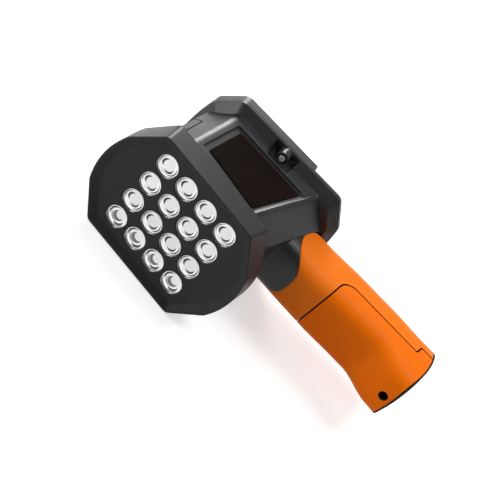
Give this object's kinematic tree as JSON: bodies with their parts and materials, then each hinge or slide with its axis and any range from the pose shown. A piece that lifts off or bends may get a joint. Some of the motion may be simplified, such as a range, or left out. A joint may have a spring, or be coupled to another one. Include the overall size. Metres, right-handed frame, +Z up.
{
  "type": "hand-held led stroboscope",
  "caption": "Hand-held flash stroboscope with an eight-sided lamp head, recessed collimator lenses, a display and key pad on the back, and a raked grip with a battery cover.",
  "frame": {"origin": "middle of the bounding box, on the table under the side the part lies on", "axes": "+X runs from the top of the lamp head to the end of the grip, +Y from the lamps back to the display, +Z up from the side it lies on"},
  "size_m": [0.242, 0.1272, 0.088],
  "materials": {
    "black_housing": "fine satin moulding",
    "black_flap": "satin moulding",
    "clear_lens": "clear acrylic collimator",
    "led_phosphor": "phosphor",
    "white_board": "metal-core board",
    "aluminium": "extruded",
    "steel": "nickel plated",
    "label_black": "glossy label",
    "dark_inner": "moulded",
    "window": "clear window",
    "lcd": "display",
    "green_board": "solder mask",
    "key_grey": "silicone key",
    "orange_grip": "satin moulding",
    "end_rubber": "rubber pad",
    "brass": "turned",
    "cell_sleeve": "printed sleeve",
    "nickel": "sheet"
  },
  "bodies": {
    "head": {"front_bezel": "black_housing", "main_housing": "black_housing", "rear_cover": "black_housing", "collimators": "clear_lens", "led_emitters": "led_phosphor", "led_board": "white_board", "heat_sink": "aluminium", "board_screws": "steel", "panel_screws": "steel", "housing_screws": "steel", "port_hinge_pin": "steel", "label_right": "label_black", "label_left": "label_black", "trigger_jack": "dark_inner", "charge_socket": "dark_inner", "display_window": "window", "display_module": "lcd", "main_board": "green_board", "key_board": "green_board", "key_switches": "dark_inner", "grip_shell": "orange_grip", "grip_end_pad": "end_rubber", "screw_insert": "brass", "battery_tray": "dark_inner", "battery_cells": "cell_sleeve", "battery_contacts": "nickel"},
    "battery_door": {"battery_cover": "orange_grip", "cover_end_pad": "end_rubber"},
    "cover_screw": {"cover_screw": "steel"},
    "port_flap": {"port_cover": "black_flap"},
    "key_up": {"key_upper": "key_grey"},
    "key_down": {"key_lower": "key_grey"},
    "key_minus": {"key_left": "key_grey"},
    "key_plus": {"key_right": "key_grey"}
  },
  "joints": [
    {"name": "battery_door_lift", "type": "slide", "parent": "head", "child": "battery_door", "axis": [0.1478, -0.989, 0], "range_m": [0, 0.03]},
    {"name": "cover_screw_turn", "type": "hinge", "parent": "battery_door", "child": "cover_screw", "pos_m": [0.10559, 0.03892, 0.044], "axis": [0.1478, -0.989, 0], "continuous": true},
    {"name": "port_flap_hinge", "type": "hinge", "parent": "head", "child": "port_flap", "pos_m": [-0.1053, -0.02937, 0.044], "axis": [0, 0, 1], "range_deg": [0, 95]},
    {"name": "key_up_press", "type": "slide", "parent": "head", "child": "key_up", "axis": [0.1478, -0.989, 0], "range_m": [0, 0.0008], "stiffness_N_per_m": 600},
    {"name": "key_down_press", "type": "slide", "parent": "head", "child": "key_down", "axis": [0.1478, -0.989, 0], "range_m": [0, 0.0008], "stiffness_N_per_m": 600},
    {"name": "key_minus_press", "type": "slide", "parent": "head", "child": "key_minus", "axis": [0.1478, -0.989, 0], "range_m": [0, 0.0008], "stiffness_N_per_m": 600},
    {"name": "key_plus_press", "type": "slide", "parent": "head", "child": "key_plus", "axis": [0.1478, -0.989, 0], "range_m": [0, 0.0008], "stiffness_N_per_m": 600}
  ]
}
